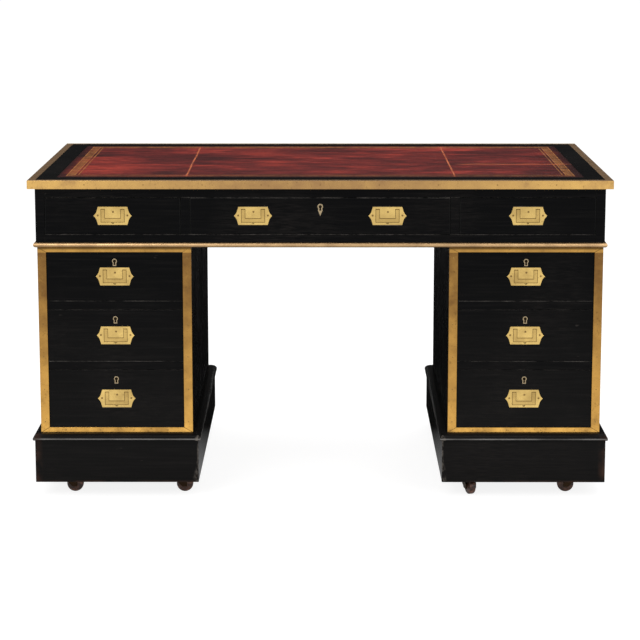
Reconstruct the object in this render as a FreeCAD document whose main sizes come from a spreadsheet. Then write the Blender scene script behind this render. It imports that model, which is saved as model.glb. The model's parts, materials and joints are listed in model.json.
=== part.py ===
"""Brass-bound campaign desk: a top section with three frieze drawers on two three-drawer pedestals.

Millimetres. X runs along the desk, -Y is the front and +Z is up. The origin is on the floor, under the
centre of the desk.
"""
import FreeCAD, Part
import math
import os
import re

import Sketcher

SIZES = {
    # Whole desk
    "desk_width": 1372,
    "desk_depth": 762,
    # Top board, its brass angle edging and its leather
    "top_thickness": 20,
    "edge_flange": 18,
    "edge_gauge": 2,
    "leather_border": 44,
    "leather_thickness": 1.5,
    "leather_seam": 0.5,
    "centre_skin_width": 638,
    # Frieze: the carcass of the top section
    "top_overhang": 16,
    "frieze_top_rail": 21.5,
    "frieze_drawer_height": 88,
    "frieze_bottom_rail": 19,
    "frieze_end": 22,
    "frieze_partition": 22,
    "centre_drawer_width": 612,
    "back_thickness": 14,
    "rail_depth": 55,
    "runner_width": 24,
    "base_moulding_height": 12,
    # Pedestals and their brass front frames
    "pedestal_inset": 2.5,
    "pedestal_width": 363,
    "frame_gauge": 3,
    "frame_upright": 20.5,
    "frame_strip": 12,
    "frame_return": 18,
    "upper_drawer_height": 117.5,
    "middle_drawer_height": 125,
    "lower_drawer_height": 140.5,
    "pedestal_rail": 21,
    "dust_board": 5,
    # Plinths
    "plinth_clearance": 39,
    "plinth_height": 103.5,
    "plinth_board": 18,
    "plinth_moulding_height": 16,
    "plinth_lip_height": 5.5,
    "plinth_lip_step": 5,
    "plinth_moulding_seat": 24,
    "plinth_moulding_bend": 19.5,
    # Castors
    "castor_inset": 62,
    "castor_trail": 25,
    "castor_plate": 56,
    "castor_plate_gauge": 4,
    "castor_block_height": 60,
    "wheel_diameter": 40,
    "wheel_width": 18,
    "wheel_side_gap": 1,
    "axle_diameter": 5,
    "horn_cheek": 4,
    "horn_shoulder": 10,
    "horn_foot": 6,
    "horn_crown": 6,
    "horn_crown_gap": 4,
    "horn_bearing_gap": 0.4,
    "kingpin_diameter": 7,
    "running_clearance": 0.05,
    # Drawers
    "drawer_front": 20,
    "drawer_side": 9,
    "drawer_bottom": 6,
    "drawer_groove": 4,
    "drawer_bottom_rise": 9,
    "drawer_gap": 0.8,
    "drawer_side_gap": 1.2,
    "drawer_side_drop": 6,
    "drawer_back_room": 30,
    "brass_seat_gap": 0.3,
    # Flush handles
    "handle_length": 90,
    "handle_height": 43,
    "handle_shoulder": 69,
    "handle_ear_length": 76,
    "handle_ear_height": 19,
    "handle_ear_bend": 26,
    "handle_depth": 7,
        "centre_handle_spread": 316,
    "bail_width": 55,
    "bail_height": 31,
    "bail_leg": 8.8,
    "bail_bar": 9.3,
    "bail_thickness": 4.4,
    "bail_bevel": 1.3,
    "bail_gap": 0.5,
    "bail_offset": 0.3,
    "trunnion_diameter": 2.4,
    "trunnion_length": 3,
    "thumb_notch_width": 7.5,
    "thumb_notch_depth": 3.5,
    # Keyholes and locks
    "keyhole_drop": 22,
    "escutcheon_head": 11.5,
    "escutcheon_tail": 11.5,
    "escutcheon_waist": 7.4,
    "escutcheon_foot": 8.6,
    "escutcheon_rim": 2,
    "drop_head": 13,
    "drop_waist": 7,
    "drop_shoulder": 11,
    "drop_shoulder_fall": 9,
    "drop_tail": 22,
    "lock_width": 58,
    "lock_height": 38,
    "lock_thickness": 13,
}

CASTOR_TURNS = {
    # Direction of each wheel from its kingpin, in degrees about +Z from +X, as the desk was last pushed
    ("left", "front", "outer"): 0,
    ("left", "front", "inner"): 0,
    ("left", "back", "outer"): 35,
    ("left", "back", "inner"): 20,
    ("right", "front", "outer"): 180,
    ("right", "front", "inner"): 290,
    ("right", "back", "outer"): 200,
    ("right", "back", "inner"): 160,
}

doc = FreeCAD.newDocument("campaign_desk")
sheet = doc.addObject("Spreadsheet::Sheet", "Sizes")
for row, (alias, number) in enumerate(SIZES.items(), start=1):
    sheet.set(f"A{row}", alias)
    sheet.set(f"B{row}", str(number))
    sheet.setAlias(f"B{row}", alias)
doc.recompute()

SIZE_NAME = re.compile(r"[a-z][a-z_]+")
UPRIGHT = FreeCAD.Vector(0, 0, 1)
ALONG = FreeCAD.Vector(1, 0, 0)
ACROSS = FreeCAD.Vector(0, 1, 0)
nodes = []


# Expressions of named sizes


def bound(expression):
    """The expression with every size name pointed at the sheet."""
    return SIZE_NAME.sub(r"Sizes.\g<0>", expression)


def drive(item, name, expression):
    item.setExpression(name, bound(expression))


def value(expression):
    return float(sheet.evalExpression(bound(expression)))


def minus(expression):
    return f"-({expression})"


def half(expression):
    return f"({expression}) / 2"


def span(width, centre="0"):
    """Lower and upper limit of a width about a centre."""
    return f"{centre} - {half(width)}", f"{centre} + {half(width)}"


def on_side(side, near, far):
    """Lower and upper limit on the left or right of the middle, from the near and far distance."""
    return (minus(far), minus(near)) if side == "left" else (near, far)


# Makers of boards, groups and nodes


def place(item, x="0", y="0", z="0", turn=0, axis=UPRIGHT):
    item.Placement = FreeCAD.Placement(FreeCAD.Vector(), FreeCAD.Rotation(axis, turn))
    for name, expression in zip("xyz", (x, y, z)):
        drive(item, f"Placement.Base.{name}", expression)
    return item


def board(name, x, y, z):
    """A rectangular board between pairs of limits along each axis."""
    box = doc.addObject("Part::Box", name)
    for side, (low, high) in zip(("Length", "Width", "Height"), (x, y, z)):
        drive(box, side, f"({high}) - ({low})")
    return place(box, x[0], y[0], z[0])


def rod(name, diameter, length, **where):
    """A round bar that starts at the given point, upright unless it is turned."""
    cylinder = doc.addObject("Part::Cylinder", name)
    drive(cylinder, "Radius", half(diameter))
    drive(cylinder, "Height", length)
    return place(cylinder, **where)


def eight_sided_bore(name, pin_diameter, length, **where):
    """A bar to cut a hole with, whose flats clear a pin by the running clearance."""
    bar = doc.addObject("Part::Prism", name)
    bar.Polygon = 8
    flat_radius = f"({half(pin_diameter)} + running_clearance)"
    drive(bar, "Circumradius", f"{flat_radius} / {math.cos(math.pi / 8):.6f}")
    drive(bar, "Height", length)
    return place(bar, **where)


def cut(name, base, *tools):
    for count, tool in enumerate(tools):
        result = doc.addObject("Part::Cut", f"{name}_cut_{count}")
        result.Base = base
        result.Tool = tool
        base = result
    return base


def group(name, items, **where):
    compound = doc.addObject("Part::Compound", name)
    compound.Links = items
    return place(compound, **where)


def node(name, items, **where):
    """A group of pieces that is written to a file of its own."""
    part = group(name, items, **where)
    part.Label = name
    nodes.append(part)


# Makers of sketched bodies


def new_body(name):
    return doc.addObject("PartDesign::Body", name)


def sketch_on(body, name, plane, offset="0"):
    sketch = body.newObject("Sketcher::SketchObject", name)
    support = next(feature for feature in body.Origin.OriginFeatures if feature.Role == plane)
    sketch.AttachmentSupport = (support, [""])
    sketch.MapMode = "FlatFace"
    drive(sketch, "AttachmentOffset.Base.z", offset)
    return sketch


def limit(sketch, kind, curve, end, expression):
    """Holds one coordinate of a point, or a radius, to an expression."""
    number = value(expression)
    if kind == "Radius":
        index = sketch.addConstraint(Sketcher.Constraint(kind, curve, number))
    elif expression == "0":
        axis = {"DistanceX": -2, "DistanceY": -1}[kind]
        sketch.addConstraint(Sketcher.Constraint("PointOnObject", curve, end, axis))
        return
    else:
        index = sketch.addConstraint(Sketcher.Constraint(kind, -1, 1, curve, end, number))
    drive(sketch, f"Constraints[{index}]", expression)


def bent_stretch(start, finish, radius, hollow):
    """Arc between two points of an anticlockwise outline, curving out of it or, if hollow, into it."""
    chord = finish - start
    left = FreeCAD.Vector(-chord.y, chord.x, 0).normalize()
    reach = math.sqrt(radius**2 - (chord.Length / 2) ** 2)
    centre = (start + finish) / 2 + left * (-reach if hollow else reach)
    first, last = (finish, start) if hollow else (start, finish)
    angles = [math.atan2(point.y - centre.y, point.x - centre.x) for point in (first, last)]
    return Part.ArcOfCircle(Part.Circle(centre, UPRIGHT, radius), *angles)


def outline(sketch, corners, bends=None):
    """Closed anticlockwise outline of lines and arcs.

    Each corner's index in bends gives the (radius, hollow) of the stretch that follows the corner.
    """
    bends = bends or {}
    points = [FreeCAD.Vector(value(x), value(y), 0) for x, y in corners]
    first_curve = sketch.GeometryCount
    starts, ends = [], []
    for index, start in enumerate(points):
        finish = points[(index + 1) % len(points)]
        hollow = False
        if index in bends:
            radius, hollow = bends[index]
            curve = bent_stretch(start, finish, value(radius), hollow)
        else:
            curve = Part.LineSegment(start, finish)
        number = sketch.addGeometry(curve)
        starts.append((number, 2 if hollow else 1))
        ends.append((number, 1 if hollow else 2))
    for index, (x, y) in enumerate(corners):
        sketch.addConstraint(Sketcher.Constraint("Coincident", *ends[index - 1], *starts[index]))
        limit(sketch, "DistanceX", *starts[index], x)
        limit(sketch, "DistanceY", *starts[index], y)
    for index, (radius, _) in bends.items():
        limit(sketch, "Radius", first_curve + index, None, radius)


def rectangle(sketch, x, y):
    outline(sketch, [(x[0], y[0]), (x[1], y[0]), (x[1], y[1]), (x[0], y[1])])


def disc(sketch, diameter, x="0", y="0"):
    middle = FreeCAD.Vector(value(x), value(y), 0)
    curve = sketch.addGeometry(Part.Circle(middle, UPRIGHT, value(half(diameter))))
    limit(sketch, "DistanceX", curve, 3, x)
    limit(sketch, "DistanceY", curve, 3, y)
    limit(sketch, "Radius", curve, None, half(diameter))


def eight_sided(sketch, diameter, x="0", y="0"):
    """A regular octagon with its corners on a circle."""
    corners = []
    for eighth in range(8):
        angle = math.pi / 8 + eighth * math.pi / 4
        across, up = (f"{diameter} / 2 * ({turned(angle):.6f})" for turned in (math.cos, math.sin))
        corners.append((f"{x} + {across}", f"{y} + {up}"))
    outline(sketch, corners)


def pad(body, sketch, length, backwards=False, symmetric=False):
    feature = body.newObject("PartDesign::Pad", f"{sketch.Name}_pad")
    feature.Profile = sketch
    feature.SideType = "Symmetric" if symmetric else "One side"
    feature.Reversed = backwards
    drive(feature, "Length", length)


def pocket(body, sketch, length, backwards=False, symmetric=False):
    doc.recompute()
    before = body.Shape.Volume
    feature = body.newObject("PartDesign::Pocket", f"{sketch.Name}_pocket")
    feature.Profile = sketch
    feature.SideType = "Symmetric" if symmetric else "One side"
    feature.Reversed = backwards
    drive(feature, "Length", length)
    doc.recompute()
    if body.Shape.Volume >= before:
        raise RuntimeError(f"{feature.Name} removes nothing")


def mitred_length(name, length, reach, profile, bends=None):
    """A length along X of a section drawn in Y and Z, with both ends mitred.

    The section's y = 0 is the frame's outer line, along which length is measured. The section reaches at
    most reach outwards, towards -Y, and twice reach inwards.
    """
    body = new_body(name)
    section = sketch_on(body, f"{name}_section", "YZ_Plane")
    outline(section, profile, bends)
    pad(body, section, f"{length} + 2 * ({reach})", symmetric=True)
    for side, sign in (("left", "-"), ("right", "")):
        far = f"{sign}({half(length)} + 2 * ({reach}))"
        tip = f"{sign}({half(length)} + ({reach}))"
        heel = f"{sign}({half(length)} - 2 * ({reach}))"
        outside, inside = minus(reach), f"2 * ({reach})"
        corners = [(tip, outside), (far, outside), (far, inside), (heel, inside)]
        waste = sketch_on(body, f"{name}_{side}_mitre", "XY_Plane")
        outline(waste, corners if side == "right" else corners[::-1])
        pocket(body, waste, "2 * desk_width", symmetric=True)
    return body


def mitred_frame(name, width, depth, reach, profile, bends=None):
    """Four mitred lengths round a rectangle centred on the origin."""
    long = mitred_length(f"{name}_long", width, reach, profile, bends)
    short = mitred_length(f"{name}_short", depth, reach, profile, bends)
    return [
        group(f"{name}_front", [long], y=minus(half(depth))),
        group(f"{name}_back", [long], y=half(depth), turn=180),
        group(f"{name}_right", [short], x=half(width), turn=90),
        group(f"{name}_left", [short], x=minus(half(width)), turn=270),
    ]


# Levels and planes that the sections share

PLINTH_TOP = "(plinth_clearance + plinth_height)"
PEDESTAL_BASE = f"({PLINTH_TOP} + plinth_moulding_height)"
LOWER_SILL = f"({PEDESTAL_BASE} + frame_strip)"
MIDDLE_SILL = f"({LOWER_SILL} + lower_drawer_height + pedestal_rail)"
UPPER_SILL = f"({MIDDLE_SILL} + middle_drawer_height + pedestal_rail)"
PEDESTAL_TOP = f"({UPPER_SILL} + upper_drawer_height + frame_strip)"
MOULDING_TOP = f"({PEDESTAL_TOP} + base_moulding_height)"
FRIEZE_SILL = f"({MOULDING_TOP} + frieze_bottom_rail)"
FRIEZE_HEAD = f"({FRIEZE_SILL} + frieze_drawer_height)"
FRIEZE_TOP = f"({FRIEZE_HEAD} + frieze_top_rail)"
DESK_TOP = f"({FRIEZE_TOP} + top_thickness)"

FRIEZE_SIDE = "(desk_width / 2 - top_overhang)"
FRIEZE_BACK = "(desk_depth / 2 - top_overhang)"
FRIEZE_FRONT = minus(FRIEZE_BACK)
FRIEZE_REAR_ROOM = f"({FRIEZE_BACK} - back_thickness)"

PLINTH_REACH = "(top_overhang + pedestal_inset)"
PEDESTAL_BACK = f"(desk_depth / 2 - {PLINTH_REACH})"
PEDESTAL_FRONT = minus(PEDESTAL_BACK)
PEDESTAL_CENTRE = f"(desk_width / 2 - {PLINTH_REACH} - pedestal_width / 2)"
CARCASS_FRONT = f"({PEDESTAL_FRONT} + frame_gauge)"
PEDESTAL_REAR_ROOM = f"({PEDESTAL_BACK} - back_thickness)"
PEDESTAL_OPENING = "(pedestal_width - 2 * frame_upright)"

SIDE_OPENING = f"({FRIEZE_SIDE} - frieze_end - frieze_partition - centre_drawer_width / 2)"
SIDE_OPENING_CENTRE = f"(centre_drawer_width / 2 + frieze_partition + {SIDE_OPENING} / 2)"


# Top section


def make_top():
    slab_width, slab_depth = span("desk_width - 2 * edge_gauge"), span("desk_depth - 2 * edge_gauge")
    field_width, field_depth = span("desk_width - 2 * edge_flange"), span("desk_depth - 2 * edge_flange")
    flange_level = (f"{DESK_TOP} - edge_gauge", DESK_TOP)
    slab = board("top_slab", slab_width, slab_depth, (FRIEZE_TOP, DESK_TOP))
    field = board("top_field", field_width, field_depth, flange_level)
    margin = board("top_margin", span("desk_width"), span("desk_depth"), flange_level)
    leather_inset = "2 * (edge_flange + leather_border)"
    leather_width = f"(desk_width - {leather_inset})"
    leather_level = (f"{DESK_TOP} - leather_thickness", DESK_TOP)
    leather_run = span(f"desk_depth - {leather_inset}")
    recess = board("leather_recess", span(leather_width), leather_run, leather_level)
    node("top_board", [cut("top_board", slab, cut("edge_rebate", margin, field), recess)])

    seam = "centre_skin_width / 2 + leather_seam"
    skins = [
        board("centre_skin", span("centre_skin_width"), leather_run, leather_level),
        board("left_skin", (minus(half(leather_width)), minus(seam)), leather_run, leather_level),
        board("right_skin", (seam, half(leather_width)), leather_run, leather_level),
    ]
    node("writing_leather", skins)

    angle = [
        ("0", FRIEZE_TOP),
        ("edge_gauge", FRIEZE_TOP),
        ("edge_gauge", flange_level[0]),
        ("edge_flange", flange_level[0]),
        ("edge_flange", DESK_TOP),
        ("0", DESK_TOP),
    ]
    node("top_edge_brass", mitred_frame("edge", "desk_width", "desk_depth", "edge_flange", angle))


def make_frieze():
    depth = (FRIEZE_FRONT, FRIEZE_BACK)
    inner_depth = (FRIEZE_FRONT, FRIEZE_REAR_ROOM)
    between_ends = span(f"2 * ({FRIEZE_SIDE} - frieze_end)")
    rail_depth = (FRIEZE_FRONT, f"{FRIEZE_FRONT} + rail_depth")
    end_inside = f"({FRIEZE_SIDE} - frieze_end)"
    partition_inside = "centre_drawer_width / 2"
    partition_outside = f"({partition_inside} + frieze_partition)"
    pieces = [
        board("frieze_back", between_ends, (FRIEZE_REAR_ROOM, FRIEZE_BACK), (PEDESTAL_TOP, FRIEZE_TOP)),
        board("frieze_top_rail_board", between_ends, rail_depth, (FRIEZE_HEAD, FRIEZE_TOP)),
        board("frieze_bottom_rail_board", between_ends, rail_depth, (PEDESTAL_TOP, FRIEZE_SILL)),
    ]
    strips = []
    behind_rail = (rail_depth[1], FRIEZE_REAR_ROOM)
    upright = (FRIEZE_SILL, FRIEZE_HEAD)
    strip_levels = {"runner": (MOULDING_TOP, FRIEZE_SILL), "kicker": (FRIEZE_HEAD, FRIEZE_TOP)}
    beds = {
        "end": (f"{end_inside} - runner_width", end_inside),
        "outer": (partition_outside, f"{partition_outside} + runner_width"),
        "inner": (f"{partition_inside} - runner_width", partition_inside),
    }
    for side in ("left", "right"):
        end = on_side(side, end_inside, FRIEZE_SIDE)
        partition = on_side(side, partition_inside, partition_outside)
        pieces.append(board(f"frieze_{side}_end", end, depth, (PEDESTAL_TOP, FRIEZE_TOP)))
        pieces.append(board(f"frieze_{side}_partition", partition, inner_depth, upright))
        for bed, limits in beds.items():
            bed_limits = on_side(side, *limits)
            for form, level in strip_levels.items():
                strips.append(board(f"{side}_{bed}_{form}", bed_limits, behind_rail, level))
    node("frieze_carcass", pieces)
    node("frieze_runners", strips)

    reach = half("base_moulding_height")
    half_round = [("0", PEDESTAL_TOP), ("0", MOULDING_TOP), (minus(reach), f"{PEDESTAL_TOP} + {reach}")]
    bends = {1: (reach, False), 2: (reach, False)}
    width, deep = f"2 * {FRIEZE_SIDE}", f"2 * {FRIEZE_BACK}"
    node("frieze_base_moulding", mitred_frame("base_moulding", width, deep, reach, half_round, bends))


# Pedestals, drawn about their own middle


def make_pedestals():
    upright = (PEDESTAL_BASE, PEDESTAL_TOP)
    inside = span(PEDESTAL_OPENING)
    outside = span("pedestal_width - 2 * frame_gauge")
    floor_depth = (CARCASS_FRONT, PEDESTAL_REAR_ROOM)
    rail_depth = (CARCASS_FRONT, f"{CARCASS_FRONT} + rail_depth")
    behind_rail = (rail_depth[1], PEDESTAL_REAR_ROOM)
    carcass = [
        board("pedestal_side_a", (outside[0], inside[0]), (CARCASS_FRONT, PEDESTAL_BACK), upright),
        board("pedestal_side_b", (inside[1], outside[1]), (CARCASS_FRONT, PEDESTAL_BACK), upright),
        board("pedestal_back", inside, (PEDESTAL_REAR_ROOM, PEDESTAL_BACK), upright),
        board("pedestal_floor", inside, floor_depth, (PEDESTAL_BASE, LOWER_SILL)),
        board("pedestal_ceiling", inside, floor_depth, (f"{PEDESTAL_TOP} - frame_strip", PEDESTAL_TOP)),
    ]
    strips = []
    for level, sill in (("middle", MIDDLE_SILL), ("upper", UPPER_SILL)):
        height = (f"{sill} - pedestal_rail", sill)
        carcass.append(board(f"{level}_rail", inside, rail_depth, height))
        bed = f"{inside[0]} + runner_width", f"{inside[1]} - runner_width"
        strips.append(board(f"{level}_runner_a", (inside[0], bed[0]), behind_rail, height))
        strips.append(board(f"{level}_runner_b", (bed[1], inside[1]), behind_rail, height))
        panel = span("dust_board", f"{sill} - pedestal_rail / 2")
        strips.append(board(f"{level}_dust_board", bed, behind_rail, panel))

    frame = make_brass_frame()
    plinth = make_plinth()
    for side, sign in (("left", "-"), ("right", "")):
        centre = f"{sign}{PEDESTAL_CENTRE}"
        node(f"pedestal_{side}_carcass", carcass, x=centre)
        node(f"pedestal_{side}_runners", strips, x=centre)
        node(f"pedestal_{side}_brass_frame", frame, x=centre)
        node(f"pedestal_{side}_plinth", plinth, x=centre)


def make_brass_frame():
    """Two upright angles and two flat strips, mitred from the outer to the inner corners."""
    height = f"({PEDESTAL_TOP} - {PEDESTAL_BASE})"
    side, foot = half("pedestal_width"), half(height)
    inner_side, inner_foot = f"({side} - frame_upright)", f"({foot} - frame_strip)"

    upright = new_body("frame_upright_angle")
    face = sketch_on(upright, "frame_upright_face", "XZ_Plane")
    outline(
        face,
        [
            (minus(side), minus(foot)),
            (minus(inner_side), minus(inner_foot)),
            (minus(inner_side), inner_foot),
            (minus(side), foot),
        ],
    )
    pad(upright, face, "frame_gauge", backwards=True)
    flange = sketch_on(upright, "frame_upright_return", "YZ_Plane", offset=minus(side))
    rectangle(flange, ("0", "frame_return"), (minus(foot), foot))
    pad(upright, flange, "frame_gauge")

    strip = new_body("frame_flat_strip")
    face = sketch_on(strip, "frame_strip_face", "XZ_Plane")
    outline(
        face,
        [
            (minus(side), minus(foot)),
            (side, minus(foot)),
            (inner_side, minus(inner_foot)),
            (minus(inner_side), minus(inner_foot)),
        ],
    )
    pad(strip, face, "frame_gauge", backwards=True)

    middle = {"y": PEDESTAL_FRONT, "z": half(f"{PEDESTAL_BASE} + {PEDESTAL_TOP}")}
    return [
        group("frame_left", [upright], **middle),
        group("frame_right", [upright], turn=180, axis=ACROSS, **middle),
        group("frame_bottom", [strip], **middle),
        group("frame_top", [strip], turn=180, axis=ACROSS, **middle),
    ]


def make_plinth():
    depth = f"2 * {PEDESTAL_BACK}"
    step = f"2 * ({PLINTH_REACH} - plinth_lip_step)"
    board_section = [
        ("0", "plinth_clearance"),
        ("plinth_board", "plinth_clearance"),
        ("plinth_board", PLINTH_TOP),
        ("0", PLINTH_TOP),
    ]
    boards = mitred_frame(
        "plinth", f"(pedestal_width + {step})", f"({depth} + {step})", "plinth_board", board_section
    )
    lip = minus(PLINTH_REACH)
    thumb_section = [
        (lip, PLINTH_TOP),
        ("plinth_moulding_seat", PLINTH_TOP),
        ("plinth_moulding_seat", PEDESTAL_BASE),
        ("0", PEDESTAL_BASE),
        (lip, f"{PLINTH_TOP} + plinth_lip_height"),
    ]
    bends = {3: ("plinth_moulding_bend", False)}
    return boards + mitred_frame(
        "plinth_moulding", "pedestal_width", depth, PLINTH_REACH, thumb_section, bends
    )


# Castors, drawn about the kingpin at floor level with the wheel towards +X

AXLE_HEIGHT = half("wheel_diameter")
CROWN_UNDER = "(wheel_diameter + horn_crown_gap)"
CROWN_TOP = f"({CROWN_UNDER} + horn_crown)"
PLATE_UNDER = f"({CROWN_TOP} + horn_bearing_gap)"
PLATE_TOP = f"({PLATE_UNDER} + castor_plate_gauge)"
FORK_GAP = "(wheel_width + 2 * wheel_side_gap)"


def make_horn():
    """Fork with a slanting arm each side of the wheel, a kingpin on its crown and a fixed axle."""
    horn = new_body("horn_fork")
    arm = sketch_on(horn, "horn_arm", "XZ_Plane")
    outline(
        arm,
        [
            ("castor_trail - horn_foot", f"{AXLE_HEIGHT} - horn_foot"),
            ("castor_trail + horn_foot", f"{AXLE_HEIGHT} - horn_foot"),
            ("castor_trail + horn_foot", f"{AXLE_HEIGHT} + horn_foot"),
            ("horn_shoulder", CROWN_TOP),
            ("-horn_shoulder", CROWN_TOP),
            ("-horn_shoulder", CROWN_UNDER),
        ],
    )
    pad(horn, arm, f"{FORK_GAP} + 2 * horn_cheek", symmetric=True)
    slot = sketch_on(horn, "horn_slot", "XZ_Plane")
    rectangle(slot, ("-2 * horn_shoulder", "castor_trail + 2 * horn_foot"), ("0", CROWN_UNDER))
    pocket(horn, slot, FORK_GAP, symmetric=True)
    pin = sketch_on(horn, "kingpin", "XY_Plane", offset=CROWN_TOP)
    eight_sided(pin, "kingpin_diameter")
    pad(horn, pin, "castor_plate_gauge")
    axle = sketch_on(horn, "axle", "XZ_Plane")
    eight_sided(axle, "axle_diameter", "castor_trail", AXLE_HEIGHT)
    pad(horn, axle, f"{FORK_GAP} + horn_cheek", symmetric=True)
    return [horn]


def make_wheel():
    start = minus(half("wheel_width"))
    where = {"x": "castor_trail", "y": start, "z": AXLE_HEIGHT, "turn": -90, "axis": ALONG}
    tread = rod("wheel_tread", "wheel_diameter", "wheel_width", **where)
    bore = eight_sided_bore("wheel_bore", "axle_diameter", "wheel_width", **where)
    return [cut("wheel", tread, bore)]


def make_castor_plate():
    side = span("castor_plate")
    flat = board("castor_plate_flat", side, side, (PLATE_UNDER, PLATE_TOP))
    bore = eight_sided_bore("castor_plate_bore", "kingpin_diameter", "castor_plate_gauge", z=PLATE_UNDER)
    return cut("castor_plate", flat, bore)


def make_castors():
    block_side = span("2 * (castor_inset - plinth_board)")
    block_level = (PLATE_TOP, f"{PLATE_TOP} + castor_block_height")
    block = board("castor_block", block_side, block_side, block_level)
    horn, wheel, plate = make_horn(), make_wheel(), make_castor_plate()
    body_reach = f"({PLINTH_REACH} - plinth_lip_step - castor_inset)"
    across = f"(pedestal_width / 2 + {body_reach})"
    along = f"({PEDESTAL_BACK} + {body_reach})"
    plates, blocks = [], []
    for (side, end, flank), turn in CASTOR_TURNS.items():
        name = f"{side}_{end}_{flank}"
        sign = "-" if side == "left" else ""
        offset = across if flank == "outer" else minus(across)
        where = {
            "x": f"{sign}({PEDESTAL_CENTRE} + {offset})",
            "y": minus(along) if end == "front" else along,
        }
        node(f"castor_horn_{name}", horn, turn=turn, **where)
        node(f"castor_wheel_{name}", wheel, turn=turn, **where)
        plates.append(group(f"castor_plate_{name}", [plate], **where))
        blocks.append(group(f"castor_block_{name}", [block], **where))
    node("castor_plates", plates)
    node("castor_blocks", blocks)


# Brassware, drawn on the face of a drawer front: y = 0 is the face and +Y goes into the wood

BAIL_TOP = "(bail_offset + bail_height / 2)"
BAIL_FOOT = "(bail_offset - bail_height / 2)"
BAIL_AXIS = f"({BAIL_TOP} - bail_thickness / 2)"
TONGUE_SIDE = "(bail_width / 2 - bail_leg)"
TONGUE_FOOT = f"({BAIL_FOOT} + bail_bar)"


def handle_outline(sketch, grow="0"):
    """Oblong with sloping shoulders and a hollow-sided pointed ear at each end."""
    top = f"(handle_height / 2 + {grow})"
    shoulder = f"(handle_shoulder / 2 + {grow})"
    ear = f"(handle_ear_length / 2 + {grow})"
    ear_rise = f"(handle_ear_height / 2 + {grow})"
    tip = f"(handle_length / 2 + {grow})"
    upper_right = [(ear, ear_rise), (shoulder, top)]
    lower_right = [(x, minus(z)) for x, z in upper_right[::-1]]
    right = [*lower_right, (tip, "0"), *upper_right]
    left = [(minus(x), z) for x, z in right[::-1]]
    hollow = ("handle_ear_bend", True)
    outline(sketch, right + left, {1: hollow, 2: hollow, 6: hollow, 7: hollow})


def make_handle_plate():
    """Cast plate with a U-shaped channel for the bail, slots for its trunnions and a thumb notch."""
    plate = new_body("handle_plate")
    face = sketch_on(plate, "handle_plate_face", "XZ_Plane")
    handle_outline(face)
    pad(plate, face, "handle_depth", backwards=True)

    side, tongue_side = "(bail_width / 2 + bail_gap)", f"({TONGUE_SIDE} - bail_gap)"
    top, foot = f"({BAIL_TOP} + bail_gap)", f"({BAIL_FOOT} - bail_gap)"
    tongue_foot = f"({TONGUE_FOOT} + bail_gap)"
    channel = sketch_on(plate, "bail_channel", "XZ_Plane")
    right = [(side, foot), (side, top), (tongue_side, top), (tongue_side, tongue_foot)]
    left = [(minus(x), z) for x, z in right[::-1]]
    outline(channel, right + left)
    pocket(plate, channel, "bail_thickness + bail_gap")

    notch = sketch_on(plate, "thumb_notch", "XZ_Plane")
    edge = half("thumb_notch_width")
    right = [(half(edge), f"{foot} - {edge}"), (edge, foot), (edge, f"{foot} + bail_bar / 2")]
    left = [(minus(x), z) for x, z in right[::-1]]
    outline(notch, right + left)
    pocket(plate, notch, "thumb_notch_depth")

    play = "(trunnion_diameter / 2 + running_clearance)"
    slots = sketch_on(plate, "trunnion_slots", "XZ_Plane", offset="-handle_depth")
    end = f"({side} + trunnion_length)"
    level = (f"{BAIL_AXIS} - {play}", f"{BAIL_AXIS} + {play}")
    rectangle(slots, (TONGUE_SIDE, end), level)
    rectangle(slots, (minus(end), minus(TONGUE_SIDE)), level)
    pocket(plate, slots, f"handle_depth - bail_thickness / 2 + {play}", backwards=True)
    return plate


def make_bail():
    """U-shaped bail with bevelled knuckles, hung by a trunnion on each side."""
    bail = new_body("bail_casting")
    face = sketch_on(bail, "bail_face", "XZ_Plane")
    side = half("bail_width")
    right = [(side, BAIL_FOOT), (side, BAIL_AXIS), (TONGUE_SIDE, BAIL_AXIS), (TONGUE_SIDE, TONGUE_FOOT)]
    left = [(minus(x), z) for x, z in right[::-1]]
    outline(face, right + left)
    pad(bail, face, "bail_thickness", backwards=True)
    back, bevel_foot = "bail_thickness", f"{BAIL_TOP} - bail_bevel"
    knuckle_form = [
        ("0", BAIL_AXIS),
        (back, BAIL_AXIS),
        (back, bevel_foot),
        (f"{back} - bail_bevel", BAIL_TOP),
        ("bail_bevel", BAIL_TOP),
        ("0", bevel_foot),
    ]
    for name, start, backwards in (("left", minus(TONGUE_SIDE), True), ("right", TONGUE_SIDE, False)):
        knuckle = sketch_on(bail, f"{name}_knuckle", "YZ_Plane", offset=start)
        outline(knuckle, knuckle_form)
        pad(bail, knuckle, "bail_leg", backwards=backwards)
        trunnion = sketch_on(bail, f"{name}_trunnion", "YZ_Plane", offset=start)
        eight_sided(trunnion, "trunnion_diameter", half(back), BAIL_AXIS)
        pad(bail, trunnion, "bail_leg + trunnion_length", backwards=backwards)
    return bail


def make_handle_seat():
    seat = new_body("handle_seat")
    face = sketch_on(seat, "handle_seat_face", "XZ_Plane")
    handle_outline(face, "brass_seat_gap")
    pad(seat, face, "handle_depth", backwards=True)
    return seat


def keyhole_form(name, grow, length):
    """A round head over a flared tail, grown all round by a margin."""
    body = new_body(name)
    head = sketch_on(body, f"{name}_head", "XZ_Plane")
    disc(head, f"escutcheon_head + 2 * ({grow})")
    pad(body, head, length, backwards=True)
    tail = sketch_on(body, f"{name}_tail", "XZ_Plane")
    waist, foot = f"escutcheon_waist / 2 + {grow}", f"escutcheon_foot / 2 + {grow}"
    fall = f"-(escutcheon_tail + {grow})"
    outline(tail, [(minus(foot), fall), (foot, fall), (waist, "0"), (minus(waist), "0")])
    pad(body, tail, length, backwards=True)
    return body


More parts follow.
